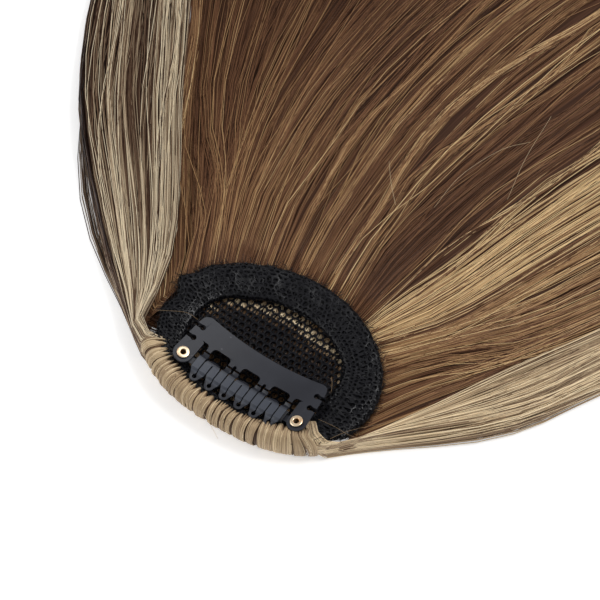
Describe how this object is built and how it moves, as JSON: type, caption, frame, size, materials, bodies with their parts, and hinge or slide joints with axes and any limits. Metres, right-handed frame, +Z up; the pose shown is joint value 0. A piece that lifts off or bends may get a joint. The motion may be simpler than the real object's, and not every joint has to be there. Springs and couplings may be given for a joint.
{
  "type": "clip-in bangs",
  "caption": "Clip-in hair fringe lying inside up: a small net cap with a lace rim, a snap comb whose teeth swing open, a rolled front edge and a fan of hair with longer temple locks.",
  "frame": {"origin": "on the surface it lies on, under the middle of the line between the comb's two eyelets", "axes": "+X along the comb to the right, +Y from the comb towards the hair's tips, +Z up, out of the cap's inside"},
  "size_m": [0.2156, 0.1869, 0.0093],
  "materials": {
    "black_netting": "matt black polyester net and lace tape",
    "black_painted_steel": "satin black stove enamel",
    "black_rubber": "matt black silicone",
    "pale_brass": "polished",
    "brown_hair": "straight brown hair with golden streaks, soft gloss",
    "blonde_hair": "straight blonde hair, soft gloss"
  },
  "bodies": {
    "bangs": {"net_cap": "black_netting", "rim_band": "black_netting", "clip_plate": "black_painted_steel", "clip_bar": "black_painted_steel", "bar_sleeve": "black_rubber", "eyelet_left": "pale_brass", "eyelet_right": "pale_brass", "front_roll": "blonde_hair", "fringe": "brown_hair", "temple_lock_left": "blonde_hair", "temple_lock_right": "blonde_hair"},
    "comb": {"comb_left": "black_painted_steel", "comb_middle": "black_painted_steel", "comb_right": "black_painted_steel"}
  },
  "joints": [
    {"name": "comb_snap", "type": "hinge", "parent": "bangs", "child": "comb", "pos_m": [0, 0.0033, 0.00782], "axis": [-1, 0, 0], "range_deg": [0, 45]}
  ]
}
